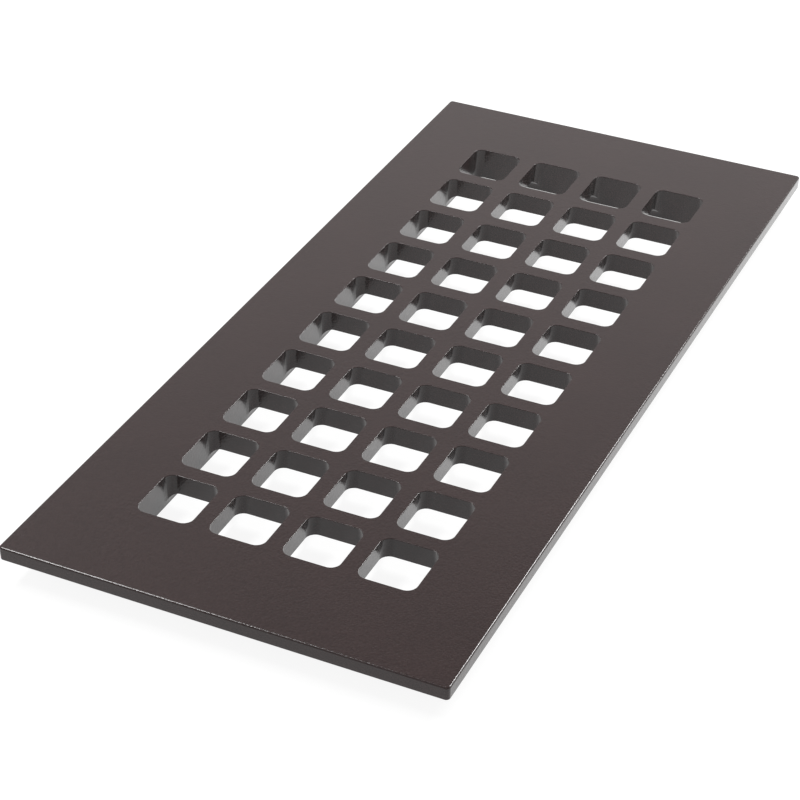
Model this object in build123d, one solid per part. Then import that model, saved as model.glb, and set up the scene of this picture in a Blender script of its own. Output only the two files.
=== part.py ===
"""Cast floor register: a flat rim, a lattice of rounded openings and a locating flange underneath.

Millimetres. X runs across the short side, Y along the length and Z up.
The origin is the centre of the floor plane, on which the underside of the rim lies.
"""

import math
import os

from build123d import *

# Face plate, measured at the face before its edge is rounded
FACE_WIDTH = 134.9
FACE_LENGTH = 304.8
FACE_CORNER_RADIUS = 1.5
RIM_THICKNESS = 4.2
RIM_DRAFT = 3.0

# Lattice of openings, measured where their walls meet the face
COLUMNS = 4
ROWS = 10
OPENING_WIDTH = 17.3
OPENING_LENGTH = 19.25
OPENING_CORNER_RADIUS = 3.1
BAR_WIDTH = 5.5
LATTICE_DEPTH = 6.8
OPENING_DRAFT = 5.0

# Flange that drops into the floor opening, measured where it leaves the rim
FLANGE_DEPTH = 7.5
FLANGE_THICKNESS = 4.2
FLANGE_CORNER_RADIUS = 4.0
FLANGE_DRAFT = 2.0

# Edges, as cast and coated
FACE_EDGE_ROUND = 0.5
RIM_LOWER_ROUND = 0.4
OPENING_LIP = 0.4
FLANGE_ROOT_FILLET = 1.0
FLANGE_TIP_CHAMFER = 0.3
UNDERSIDE_FILLET = 4.2

# Most of the flange's inner wall that the fillet between it and a bar may take
FILLET_SHARE = 0.95

# Levels and spacings that follow from the sizes above
FLOOR_Z = 0.0
FACE_Z = FLOOR_Z + RIM_THICKNESS
LATTICE_Z = FACE_Z - LATTICE_DEPTH
FLANGE_Z = FLOOR_Z - FLANGE_DEPTH
PITCH_X = OPENING_WIDTH + BAR_WIDTH
PITCH_Y = OPENING_LENGTH + BAR_WIDTH
FIELD_WIDTH = COLUMNS * PITCH_X - BAR_WIDTH
FIELD_LENGTH = ROWS * PITCH_Y - BAR_WIDTH


def drafted_block(width, length, top, bottom, angle, corner_radius):
    """Block with its size at the top level, drafted sides and rounded corners.

    A positive angle makes it wider towards the bottom.
    """
    upper = Plane.XY.offset(top)
    block = extrude(upper * Rectangle(width, length), amount=bottom - top)
    block = draft(block.faces().filter_by(Axis.Z, reverse=True), upper, angle)
    corner_edges = block.edges().group_by(Axis.Z)[1]
    return fillet(corner_edges, corner_radius)


def wall_spread(depth):
    """How far an opening's drafted wall has moved outwards at a depth below the face."""
    return depth * math.tan(math.radians(OPENING_DRAFT))


def rim():
    """Flat plate whose sides slope inwards from the face to the floor."""
    return drafted_block(FACE_WIDTH, FACE_LENGTH, FACE_Z, FLOOR_Z, -RIM_DRAFT, FACE_CORNER_RADIUS)


def flange_block():
    """Solid block with the flange's outer shape."""
    root = wall_spread(RIM_THICKNESS) + FLANGE_THICKNESS
    width = FIELD_WIDTH + 2 * root
    length = FIELD_LENGTH + 2 * root
    return drafted_block(width, length, FLOOR_Z, FLANGE_Z, -FLANGE_DRAFT, FLANGE_CORNER_RADIUS)


def flange_well():
    """Hollow inside the flange, whose round upper edge leaves a fillet where each bar meets the flange.

    Its walls run on from the walls of the outer openings, which cut its corners back to their own radius.
    """
    spread = wall_spread(LATTICE_DEPTH)
    width = FIELD_WIDTH + 2 * spread
    length = FIELD_LENGTH + 2 * spread
    wall = LATTICE_Z - FLANGE_Z - FLANGE_TIP_CHAMFER
    radius = min(UNDERSIDE_FILLET, FILLET_SHARE * wall)
    well = drafted_block(width, length, LATTICE_Z, FLANGE_Z, OPENING_DRAFT, OPENING_CORNER_RADIUS + radius)
    return fillet(flat_face_at(well, LATTICE_Z).edges(), radius)


def opening():
    """Space inside and below one opening, which widens downwards so that the casting leaves its mould."""
    return drafted_block(
        OPENING_WIDTH, OPENING_LENGTH, FACE_Z, FLANGE_Z, OPENING_DRAFT, OPENING_CORNER_RADIUS
    )


def flat_face_at(body, level):
    """The level face of the body at a height."""
    level_faces = body.faces().filter_by(Axis.Z)
    return level_faces.sort_by(lambda face: abs(face.center().Z - level))[0]


def register_grille():
    """The whole casting."""
    body = rim() + flange_block()
    body = fillet(body.edges().filter_by(Edge.is_interior), FLANGE_ROOT_FILLET)
    body -= flange_well()
    cutter = opening()
    body -= [place * cutter for place in GridLocations(PITCH_X, PITCH_Y, COLUMNS, ROWS)]

    face = flat_face_at(body, FACE_Z)
    lips = [edge for wire in face.inner_wires() for edge in wire.edges()]
    body = chamfer(lips, OPENING_LIP)
    body = fillet(flat_face_at(body, FACE_Z).outer_wire().edges(), FACE_EDGE_ROUND)
    body = fillet(flat_face_at(body, FLOOR_Z).outer_wire().edges(), RIM_LOWER_ROUND)
    return chamfer(flat_face_at(body, FLANGE_Z).edges(), FLANGE_TIP_CHAMFER)


os.makedirs("parts", exist_ok=True)
export_step(register_grille(), "parts/register_grille.step")
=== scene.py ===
"""Cast floor register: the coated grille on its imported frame, with a studio and a camera.

Metres. X runs across the short side, Y along the length and Z up.
The origin is the centre of the floor plane, on which the underside of the rim lies.
"""

import math

import bpy
from mathutils import Matrix, Vector


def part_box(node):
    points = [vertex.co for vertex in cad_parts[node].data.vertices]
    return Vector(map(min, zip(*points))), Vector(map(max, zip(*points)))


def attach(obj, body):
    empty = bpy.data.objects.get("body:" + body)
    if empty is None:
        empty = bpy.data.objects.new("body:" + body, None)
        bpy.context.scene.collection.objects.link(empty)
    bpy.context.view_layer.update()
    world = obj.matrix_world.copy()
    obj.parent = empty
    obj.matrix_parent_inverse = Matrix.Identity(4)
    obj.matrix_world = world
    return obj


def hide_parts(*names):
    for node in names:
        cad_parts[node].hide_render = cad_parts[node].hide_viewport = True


bl_info = {
    "name": "Cast floor register",
    "version": (1, 0, 0),
    "blender": (4, 5, 0),
    "location": "3D View > Sidebar > Register",
    "description": "Models a powder-coated cast floor register and the studio that shows it",
    "category": "Add Mesh",
}

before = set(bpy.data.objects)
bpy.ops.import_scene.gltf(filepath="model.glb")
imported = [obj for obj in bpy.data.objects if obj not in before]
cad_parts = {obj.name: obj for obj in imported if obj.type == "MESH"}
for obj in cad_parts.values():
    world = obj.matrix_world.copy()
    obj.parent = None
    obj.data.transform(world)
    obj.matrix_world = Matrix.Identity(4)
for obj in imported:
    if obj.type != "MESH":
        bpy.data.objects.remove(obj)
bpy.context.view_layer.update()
CASTING_NODE = "register_grille"
CASTING_LOW, CASTING_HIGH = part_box(CASTING_NODE)
MM = 0.001

# How far a cutting block stands past the surface that it cuts, and a search past the edges that it takes in
CUT_MARGIN = 1.0 * MM
# Two corners closer than this are one corner
MERGE_DISTANCE = 0.001 * MM
# A face whose normal is this upright, and whose centre is this near to a height, lies level at that height
UPRIGHT = 0.999
LEVEL_TOLERANCE = 0.01 * MM
# Bevel profile that is an arc of a circle
ROUND_PROFILE = 0.5
# Segments in a quarter turn of a small edge, of a corner and of the fillet under the bars
EDGE_STEPS = 5
CORNER_STEPS = 8
FILLET_STEPS = 10
# Faces that meet at less than this are shaded as one curve
SMOOTH_ANGLE = math.radians(35)

# Sockets of a Mix node that mixes colours, whose names stand for other types too
MIX_FIRST = 6
MIX_SECOND = 7
MIX_RESULT = 2

# Index of refraction of the coat: a smooth film has about 1.5, but grain dulls what it mirrors head on
COAT_IOR = 1.35
# Finer octaves in each of the coat's patterns
PATTERN_DETAIL = 1.0

# Glow of the floor card in reflections, painted brighter towards its far end as painted light, at two places
# along Y
CARD_NEAR_Y = -0.17
CARD_NEAR_GLOW = 0.72
CARD_FAR_Y = 0.15
CARD_FAR_GLOW = 1.05
# Its brightness in the camera, and the share of the lamps' light on top, which shows the object's shadow
CARD_SEEN_GLOW = 0.9
CARD_SHADE = 0.15

# Light of the studio's far and near walls by height, from the horizon at 0 to straight up at 1
FAR_WALL = ((0.0, 1.0), (0.2, 0.62), (0.53, 0.68), (0.65, 0.26), (1.0, 0.2))
NEAR_WALL = ((0.0, 0.15), (0.25, 0.2), (0.5, 0.65), (0.7, 0.65), (1.0, 0.2))
# Directions along Y between which the near wall blends into the far one
WALL_BLEND = (-0.4, 0.3)

# From the origin to each lamp
LAMP_DISTANCE = 1.2
SENSOR_WIDTH_MM = 36.0


def srgb(hex_colour):
    """Linear red, green and blue of an sRGB hex colour, by the standard's own curve."""
    parts = [int(hex_colour[i : i + 2], 16) / 255 for i in (1, 3, 5)]
    return tuple(c / 12.92 if c <= 0.04045 else ((c + 0.055) / 1.055) ** 2.4 for c in parts)


def length(name, description, default):
    """A size property in metres."""
    return bpy.props.FloatProperty(
        name=name, description=description, default=default, min=0.0, precision=5, unit="LENGTH"
    )


def coordinate(name, description, default):
    """A place property in metres."""
    return bpy.props.FloatProperty(
        name=name, description=description, default=default, precision=5, unit="LENGTH"
    )


def angle(name, description, degrees):
    """An angle property."""
    return bpy.props.FloatProperty(
        name=name, description=description, default=math.radians(degrees), unit="ROTATION"
    )


def count(name, description, default):
    """A whole number property."""
    return bpy.props.IntProperty(
        name=name, description=description, default=default, min=1, subtype="UNSIGNED"
    )


def colour(name, description, hex_colour):
    """A colour property."""
    return bpy.props.FloatVectorProperty(
        name=name, description=description, default=srgb(hex_colour), min=0.0, max=1.0, subtype="COLOR"
    )


def share(name, description, default):
    """A property from 0 to 1."""
    return bpy.props.FloatProperty(
        name=name, description=description, default=default, min=0.0, max=1.0, subtype="FACTOR"
    )


class RegisterSizes(bpy.types.PropertyGroup):
    """Sizes of the casting."""

    face_width: length("Face width", "Width of the face", CASTING_HIGH.x - CASTING_LOW.x)
    face_length: length("Face length", "Length of the face", CASTING_HIGH.y - CASTING_LOW.y)
    face_corner: length("Face corner", "Radius of the face's corners in plan", 1.2 * MM)
    rim_thickness: length("Rim thickness", "Height of the face above the floor", CASTING_HIGH.z)
    rim_draft: angle("Rim draft", "Slope of the rim's sides", 1.5)
    columns: count("Columns", "Openings across the width", 4)
    rows: count("Rows", "Openings along the length", 10)
    opening_width: length("Opening width", "Width of an opening at the face", 17.3 * MM)
    opening_length: length("Opening length", "Length of an opening at the face", 19.25 * MM)
    opening_corner: length("Opening corner", "Radius of an opening's corners", 3.1 * MM)
    opening_draft: angle("Opening draft", "Slope of an opening's walls", 5.0)
    bar_width: length("Bar width", "Width of the bars at the face", 5.5 * MM)
    lattice_depth: length("Lattice depth", "Depth of the bars", 6.8 * MM)
    flange_depth: length("Flange depth", "Depth of the flange below the floor", -CASTING_LOW.z)
    flange_thickness: length("Flange thickness", "Thickness of the flange at the rim", 4.2 * MM)
    flange_corner: length("Flange corner", "Radius of the flange's outer corners", 4.0 * MM)
    flange_draft: angle("Flange draft", "Slope of the flange's outer sides", 2.0)
    lip_round: length("Lip round", "Radius of the openings' edges at the face", 0.16 * MM)
    face_round: length("Face round", "Radius of the face's outer edge", 0.55 * MM)
    rim_round: length("Rim round", "Radius of the rim's lower edge", 0.25 * MM)
    root_round: length("Root round", "Radius between the rim and the flange", 1.0 * MM)
    tip_round: length("Tip round", "Radius of the flange's lower edges", 0.1 * MM)
    underside_round: length("Underside round", "Radius between the bars and the flange", 4.2 * MM)


class CoatFinish(bpy.types.PropertyGroup):
    """Finish of the powder coat."""

    coat_colour: colour("Coat", "Dark brown of the coat", "#362726")
    coat_shade: colour("Coat shade", "Darker brown of its grain", "#1C1414")
    drift_size: length("Drift", "Spacing of the slow drift in the colour", 28.0 * MM)
    grain_share: share("Grain share", "How much of the colour's change is grain and not drift", 0.75)
    roughness: share("Roughness", "Roughness of the satin surface", 0.24)
    roughness_change: share("Roughness change", "How far the grain changes the roughness", 0.04)
    skin: share("Skin", "Strength of the smooth skin that the powder melts to", 0.8)
    skin_roughness: share("Skin roughness", "Roughness of that skin", 0.15)
    peel_size: length("Peel", "Spacing of the soft waves in the coat", 2.4 * MM)
    peel_depth: length("Peel depth", "Depth of the soft waves", 0.015 * MM)
    grain_size: length("Grain", "Spacing of the grain, drawn coarser than the real one", 0.55 * MM)
    grain_depth: length("Grain depth", "Depth of the grain", 0.05 * MM)


class StudioSettings(bpy.types.PropertyGroup):
    """Camera and floor."""

    camera_azimuth: angle("Azimuth", "Camera's turn from the near end towards the right", 24.53)
    camera_elevation: angle("Elevation", "Camera's height above the horizon", 33.71)
    camera_roll: angle("Roll", "Camera's turn about its own line of sight", 0.86)
    camera_distance: length("Distance", "From the camera to the point it is aimed at", 686.8 * MM)
    camera_aim_x: coordinate("Aim across", "X of the point that the camera is aimed at", 0.7 * MM)
    camera_aim_y: coordinate("Aim along", "Y of the point that the camera is aimed at", -38.7 * MM)
    camera_lens: bpy.props.FloatProperty(
        name="Lens", description="Focal length in millimetres", default=103.1, unit="CAMERA"
    )
    floor_size: length("Floor", "Side of the square floor", 8.0)
    floor_colour: colour("Floor colour", "White of the floor", "#E6E6E6")


def select_only(piece):
    """Make one object the selected and active one."""
    bpy.ops.object.select_all(action="DESELECT")
    piece.select_set(True)
    bpy.context.view_layer.objects.active = piece


def edit_selection(piece, mode, chosen):
    """Enter edit mode with only the vertices, edges or faces of the chosen numbers selected."""
    select_only(piece)
    bpy.ops.object.mode_set(mode="EDIT")
    bpy.ops.mesh.select_mode(type=mode)
    bpy.ops.mesh.select_all(action="DESELECT")
    bpy.ops.object.mode_set(mode="OBJECT")
    mesh = piece.data
    elements = {"VERT": mesh.vertices, "EDGE": mesh.edges, "FACE": mesh.polygons}[mode]
    for number in chosen:
        elements[number].select = True
    bpy.ops.object.mode_set(mode="EDIT")


def leave_edit():
    """Return to object mode."""
    bpy.ops.object.mode_set(mode="OBJECT")


def apply_modifiers(piece):
    """Apply a piece's modifiers in order."""
    select_only(piece)
    for modifier in list(piece.modifiers):
        bpy.ops.object.modifier_apply(modifier=modifier.name)


def round_edges(piece, edges, radius, steps):
    """Round some of a piece's edges."""
    edit_selection(piece, "EDGE", edges)
    done = bpy.ops.mesh.bevel(
        offset_type="OFFSET", offset=radius, segments=steps, profile=ROUND_PROFILE, affect="EDGES"
    )
    leave_edit()
    if done != {"FINISHED"}:
        raise RuntimeError(f"{piece.name} has no edges to round there")


def drafted_block(name, size, level, top, bottom, draft, corner):
    """Block whose sides slope outwards going down by the draft, with rounded corners.

    Its width and length are measured at a level.
    """
    across, along = size
    spread_top = 2 * (level - top) * math.tan(draft)
    spread_bottom = 2 * (level - bottom) * math.tan(draft)
    middle = (top + bottom) / 2
    bpy.ops.object.select_all(action="DESELECT")
    bpy.ops.mesh.primitive_cube_add(
        size=1.0,
        location=(0.0, 0.0, middle),
        scale=(across + spread_top, along + spread_top, top - bottom),
    )
    block = bpy.context.object
    block.name = name
    bpy.ops.object.transform_apply(location=True, rotation=True, scale=True)

    edit_selection(block, "VERT", [v.index for v in block.data.vertices if v.co.z < middle])
    taper = (
        (across + spread_bottom) / (across + spread_top),
        (along + spread_bottom) / (along + spread_top),
        1.0,
    )
    bpy.ops.transform.resize(value=taper, center_override=(0.0, 0.0, bottom))
    leave_edit()

    low = [v.co.z < middle for v in block.data.vertices]
    corners = [e.index for e in block.data.edges if low[e.vertices[0]] != low[e.vertices[1]]]
    round_edges(block, corners, corner, CORNER_STEPS)
    return block


def combine(body, tool, operation):
    """Join or cut a body with another solid, which is used up."""
    modifier = body.modifiers.new(operation.lower(), "BOOLEAN")
    modifier.operation = operation
    modifier.solver = "EXACT"
    modifier.object = tool
    apply_modifiers(body)
    bpy.data.objects.remove(tool)


def repeat(piece, times, step):
    """Copy a piece in a row."""
    modifier = piece.modifiers.new("row", "ARRAY")
    modifier.count = times
    modifier.use_relative_offset = False
    modifier.use_constant_offset = True
    modifier.constant_offset_displace = step
    apply_modifiers(piece)


def flats_at(mesh, height):
    """Level faces at a height."""
    return [
        p.index
        for p in mesh.polygons
        if abs(p.normal.z) > UPRIGHT and abs(p.center.z - height) < LEVEL_TOLERANCE
    ]


def outline_at(mesh, height):
    """Edges around the level faces at a height."""
    uses = {}
    for flat in flats_at(mesh, height):
        for key in mesh.polygons[flat].edge_keys:
            uses[key] = uses.get(key, 0) + 1
    return [e.index for e in mesh.edges if uses.get(e.key) == 1]


def within(mesh, edges, half_width, half_length):
    """Those edges whose middle lies inside a rectangle about the origin."""
    inside = []
    for edge in edges:
        start, end = (mesh.vertices[i].co for i in mesh.edges[edge].vertices)
        middle = (start + end) / 2
        if abs(middle.x) < half_width and abs(middle.y) < half_length:
            inside.append(edge)
    return inside


def add_node(tree, kind, inputs=None, links=None, **settings):
    """Add a shader node with its settings, input values and links."""
    node = tree.nodes.new(kind)
    for name, value in settings.items():
        setattr(node, name, value)
    for name, value in (inputs or {}).items():
        node.inputs[name].default_value = value
    for name, source in (links or {}).items():
        tree.links.new(source, node.inputs[name])
    return node


def new_material(name):
    """An empty node material."""
    material = bpy.data.materials.new(name)
    material.use_nodes = True
    material.node_tree.nodes.clear()
    return material


def powder_coat(finish):
    """Satin powder coat: powder baked on cast aluminium to one even, thick film.

    The eye sees a dark brown body under a smooth skin, with soft waves and a grain that break up
    reflections. The real grain is a tenth of a millimetre, too fine for the picture, so it is drawn coarser.
    """
    material = new_material("satin_powder_coat")
    tree = material.node_tree
    place = add_node(tree, "ShaderNodeTexCoord").outputs["Object"]

    patterns = []
    for spacing in (finish.drift_size, finish.peel_size, finish.grain_size):
        inputs = {"Scale": 1 / spacing, "Detail": PATTERN_DETAIL}
        pattern = add_node(tree, "ShaderNodeTexNoise", inputs, {"Vector": place})
        patterns.append(pattern.outputs["Fac"])
    drift, peel, grain = patterns

    tone = add_node(tree, "ShaderNodeMix", {"Factor": finish.grain_share}, {"A": drift, "B": grain})
    body = add_node(
        tree,
        "ShaderNodeMix",
        {MIX_FIRST: (*finish.coat_shade, 1.0), MIX_SECOND: (*finish.coat_colour, 1.0)},
        {"Factor": tone.outputs["Result"]},
        data_type="RGBA",
    )
    waves = add_node(tree, "ShaderNodeBump", {"Distance": finish.peel_depth}, {"Height": peel})
    tooth = add_node(
        tree,
        "ShaderNodeBump",
        {"Distance": finish.grain_depth},
        {"Height": grain, "Normal": waves.outputs["Normal"]},
    )
    gloss = add_node(
        tree,
        "ShaderNodeMapRange",
        {
            "To Min": finish.roughness - finish.roughness_change,
            "To Max": finish.roughness + finish.roughness_change,
        },
        {"Value": grain},
    )
    shader = add_node(
        tree,
        "ShaderNodeBsdfPrincipled",
        {
            "IOR": COAT_IOR,
            "Coat Weight": finish.skin,
            "Coat Roughness": finish.skin_roughness,
            "Coat IOR": COAT_IOR,
        },
        {
            "Base Color": body.outputs[MIX_RESULT],
            "Roughness": gloss.outputs["Result"],
            "Normal": tooth.outputs["Normal"],
            "Coat Normal": tooth.outputs["Normal"],
        },
    )
    add_node(tree, "ShaderNodeOutputMaterial", links={"Surface": shader.outputs["BSDF"]})
    return material


def white_floor(studio):
    """Matt white card: white in the camera, with the object's soft shadow on it.

    The coat mirrors it, and there its glow is painted brighter towards its far end, as painted light on the
    card.
    """
    material = new_material("matt_white_card")
    tree = material.node_tree
    path = add_node(tree, "ShaderNodeLightPath")
    seen = add_node(
        tree,
        "ShaderNodeMath",
        links={0: path.outputs["Is Camera Ray"], 1: path.outputs["Is Glossy Ray"]},
        operation="ADD",
    )
    seen = add_node(
        tree,
        "ShaderNodeMath",
        links={0: seen.outputs[0], 1: path.outputs["Is Transmission Ray"]},
        operation="ADD",
        use_clamp=True,
    )
    place = add_node(tree, "ShaderNodeTexCoord").outputs["Object"]
    parts = add_node(tree, "ShaderNodeSeparateXYZ", links={"Vector": place})
    # Glow seen only in reflections, painted brighter towards the card's far end: painted light
    painted_mirror_glow = add_node(
        tree,
        "ShaderNodeMapRange",
        {
            "From Min": CARD_NEAR_Y,
            "From Max": CARD_FAR_Y,
            "To Min": CARD_NEAR_GLOW,
            "To Max": CARD_FAR_GLOW,
        },
        {"Value": parts.outputs["Y"]},
    )
    strength = add_node(
        tree,
        "ShaderNodeMix",
        {"B": CARD_SEEN_GLOW},
        {"Factor": path.outputs["Is Camera Ray"], "A": painted_mirror_glow.outputs["Result"]},
    )
    glow = add_node(tree, "ShaderNodeEmission", links={"Strength": strength.outputs["Result"]})
    shade = (CARD_SHADE, CARD_SHADE, CARD_SHADE, 1.0)
    shaded = add_node(tree, "ShaderNodeBsdfDiffuse", {"Color": shade})
    bright = add_node(tree, "ShaderNodeAddShader", links={0: glow.outputs[0], 1: shaded.outputs[0]})
    card = add_node(tree, "ShaderNodeBsdfDiffuse", {"Color": (*studio.floor_colour, 1.0)})
    surface = add_node(
        tree,
        "ShaderNodeMixShader",
        links={0: seen.outputs[0], 1: card.outputs[0], 2: bright.outputs[0]},
    )
    add_node(tree, "ShaderNodeOutputMaterial", links={"Surface": surface.outputs[0]})
    return material


class CastGrille(bpy.types.Operator):
    """Model the one-piece casting and coat it."""

    bl_idname = "floor_register.cast_grille"
    bl_label = "Cast grille"

    def execute(self, context):
        sizes = context.scene.register_sizes
        face = sizes.rim_thickness
        lattice = face - sizes.lattice_depth
        tip = -sizes.flange_depth
        pitch_x = sizes.opening_width + sizes.bar_width
        pitch_y = sizes.opening_length + sizes.bar_width
        field_width = sizes.columns * pitch_x - sizes.bar_width
        field_length = sizes.rows * pitch_y - sizes.bar_width
        root = sizes.rim_thickness * math.tan(sizes.opening_draft) + sizes.flange_thickness

        # Rim, with the flange under it, which starts inside the rim so that the two overlap
        grille = drafted_block(
            "cast_grille",
            (sizes.face_width, sizes.face_length),
            level=face,
            top=face,
            bottom=0.0,
            draft=-sizes.rim_draft,
            corner=sizes.face_corner,
        )
        round_edges(grille, outline_at(grille.data, face), sizes.face_round, EDGE_STEPS)
        round_edges(grille, outline_at(grille.data, 0.0), sizes.rim_round, EDGE_STEPS)
        flange = drafted_block(
            "flange",
            (field_width + 2 * root, field_length + 2 * root),
            level=0.0,
            top=face / 2,
            bottom=tip,
            draft=-sizes.flange_draft,
            corner=sizes.flange_corner,
        )
        combine(grille, flange, "UNION")

        # Hollow inside the flange, whose walls run on from the outer openings' walls
        well = drafted_block(
            "well",
            (field_width, field_length),
            level=face,
            top=lattice,
            bottom=tip - CUT_MARGIN,
            draft=sizes.opening_draft,
            corner=sizes.opening_corner + sizes.underside_round,
        )
        round_edges(well, outline_at(well.data, lattice), sizes.underside_round, FILLET_STEPS)
        combine(grille, well, "DIFFERENCE")

        # Openings, cut right through so that they square up the well's corners
        openings = drafted_block(
            "openings",
            (sizes.opening_width, sizes.opening_length),
            level=face,
            top=face + CUT_MARGIN,
            bottom=tip - CUT_MARGIN,
            draft=sizes.opening_draft,
            corner=sizes.opening_corner,
        )
        openings.location = (-(sizes.columns - 1) * pitch_x / 2, -(sizes.rows - 1) * pitch_y / 2, 0.0)
        select_only(openings)
        bpy.ops.object.transform_apply(location=True)
        repeat(openings, sizes.columns, (pitch_x, 0.0, 0.0))
        repeat(openings, sizes.rows, (0.0, pitch_y, 0.0))
        combine(grille, openings, "DIFFERENCE")

        mesh = grille.data
        edit_selection(grille, "VERT", range(len(mesh.vertices)))
        bpy.ops.mesh.remove_doubles(threshold=MERGE_DISTANCE)
        leave_edit()

        # Edges inside the rim's own: the openings' lips, the flange's root and its tip
        half_width = field_width / 2 + root + CUT_MARGIN
        half_length = field_length / 2 + root + CUT_MARGIN
        lips = within(mesh, outline_at(mesh, face), half_width, half_length)
        round_edges(grille, lips, sizes.lip_round, EDGE_STEPS)
        roots = within(mesh, outline_at(mesh, 0.0), half_width, half_length)
        round_edges(grille, roots, sizes.root_round, EDGE_STEPS)
        round_edges(grille, outline_at(mesh, tip), sizes.tip_round, EDGE_STEPS)

        # Smooth shading that leaves the face flat
        select_only(grille)
        bpy.ops.object.shade_smooth_by_angle(angle=SMOOTH_ANGLE)
        edit_selection(grille, "FACE", flats_at(mesh, face))
        bpy.ops.mesh.mod_weighted_strength(set=True, face_strength="STRONG")
        leave_edit()
        normals = grille.modifiers.new("flat_faces", "WEIGHTED_NORMAL")
        normals.keep_sharp = True
        normals.use_face_influence = True
        apply_modifiers(grille)

        mesh.materials.clear()
        mesh.materials.append(powder_coat(context.scene.register_finish))
        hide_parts(CASTING_NODE)
        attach(grille, "root")
        return {"FINISHED"}


def add_lamp(name, direction, long_side, size, power):
    """Softbox that shines on the origin from a direction, with its long side turned as given."""
    towards = Vector(direction).normalized()
    short_side = towards.cross(Vector(long_side)).normalized()
    turn = Matrix((short_side.cross(towards), short_side, towards)).transposed().to_euler()
    bpy.ops.object.light_add(type="AREA", location=towards * LAMP_DISTANCE, rotation=turn)
    lamp = bpy.context.object
    lamp.name = name
    lamp.data.shape = "RECTANGLE"
    lamp.data.size, lamp.data.size_y = size
    lamp.data.energy = power


def grey_studio():
    """Walls of the studio: the far one pale up to a height, the near one in a band, both dark overhead."""
    world = bpy.data.worlds.new("grey_studio")
    world.use_nodes = True
    tree = world.node_tree
    tree.nodes.clear()
    direction = add_node(tree, "ShaderNodeTexCoord").outputs["Generated"]
    parts = add_node(tree, "ShaderNodeSeparateXYZ", links={"Vector": direction})
    walls = []
    for levels in (NEAR_WALL, FAR_WALL):
        ramp = add_node(tree, "ShaderNodeValToRGB", links={"Fac": parts.outputs["Z"]})
        stops = ramp.color_ramp.elements
        while len(stops) < len(levels):
            stops.new(1.0)
        for stop, (height, level) in zip(stops, levels):
            stop.position = height
            stop.color = (level, level, level, 1.0)
        walls.append(ramp.outputs["Color"])
    near_end, far_end = WALL_BLEND
    side = add_node(
        tree,
        "ShaderNodeMapRange",
        {"From Min": near_end, "From Max": far_end},
        {"Value": parts.outputs["Y"]},
    )
    near_wall, far_wall = walls
    wall = add_node(
        tree,
        "ShaderNodeMix",
        links={"Factor": side.outputs["Result"], MIX_FIRST: near_wall, MIX_SECOND: far_wall},
        data_type="RGBA",
    )
    light = add_node(tree, "ShaderNodeBackground", links={"Color": wall.outputs[MIX_RESULT]})
    add_node(tree, "ShaderNodeOutputWorld", links={"Surface": light.outputs["Background"]})
    return world


class Studio(bpy.types.Operator):
    """Set up the floor, the lamps and the camera."""

    bl_idname = "floor_register.studio"
    bl_label = "Studio"

    def execute(self, context):
        scene = context.scene
        studio = scene.register_studio
        bpy.ops.object.select_all(action="DESELECT")
        bpy.ops.mesh.primitive_plane_add(size=studio.floor_size, location=(0.0, 0.0, CASTING_LOW.z))
        floor = context.object
        floor.name = "studio_floor"
        bpy.ops.object.transform_apply(location=True)
        floor.data.materials.append(white_floor(studio))

        # The key draws the light line on the front edge, and the strip behind the one on the right edge
        add_lamp(
            "key_softbox",
            direction=(-0.505, 0.0, 0.86),
            long_side=(0.0, 1.0, 0.0),
            size=(0.87, 0.24),
            power=13.0,
        )
        add_lamp(
            "back_strip",
            direction=(0.31, 0.67, 0.67),
            long_side=(0.93, 0.0, -0.4),
            size=(0.42, 0.34),
            power=12.0,
        )
        scene.world = grey_studio()

        aim = Vector((studio.camera_aim_x, studio.camera_aim_y, CASTING_HIGH.z))
        turn = (
            Matrix.Rotation(studio.camera_azimuth, 3, "Z")
            @ Matrix.Rotation(math.pi / 2 - studio.camera_elevation, 3, "X")
            @ Matrix.Rotation(studio.camera_roll, 3, "Z")
        )
        bpy.ops.object.camera_add(
            location=aim + turn @ Vector((0.0, 0.0, studio.camera_distance)), rotation=turn.to_euler()
        )
        camera = context.object
        camera.data.sensor_width = SENSOR_WIDTH_MM
        camera.data.lens = studio.camera_lens
        scene.camera = camera
        scene.view_settings.view_transform = "Standard"
        return {"FINISHED"}


class RegisterPanel(bpy.types.Panel):
    """Sizes, finish and studio of the register."""

    bl_idname = "VIEW3D_PT_floor_register"
    bl_label = "Floor register"
    bl_space_type = "VIEW_3D"
    bl_region_type = "UI"
    bl_category = "Register"

    def draw(self, context):
        scene = context.scene
        for group in (scene.register_sizes, scene.register_finish, scene.register_studio):
            box = self.layout.box()
            for name in group.__annotations__:
                box.prop(group, name)
        self.layout.operator(CastGrille.bl_idname)
        self.layout.operator(Studio.bl_idname)


CLASSES = (RegisterSizes, CoatFinish, StudioSettings, CastGrille, Studio, RegisterPanel)


def register():
    """Add the classes and the scene's settings."""
    for item in CLASSES:
        bpy.utils.register_class(item)
    bpy.types.Scene.register_sizes = bpy.props.PointerProperty(type=RegisterSizes)
    bpy.types.Scene.register_finish = bpy.props.PointerProperty(type=CoatFinish)
    bpy.types.Scene.register_studio = bpy.props.PointerProperty(type=StudioSettings)


def unregister():
    """Remove the scene's settings and the classes."""
    del bpy.types.Scene.register_sizes
    del bpy.types.Scene.register_finish
    del bpy.types.Scene.register_studio
    for item in reversed(CLASSES):
        bpy.utils.unregister_class(item)


def main():
    """Build the register and its studio."""
    register()
    bpy.ops.floor_register.cast_grille()
    bpy.ops.floor_register.studio()


if __name__ == "__main__":
    main()
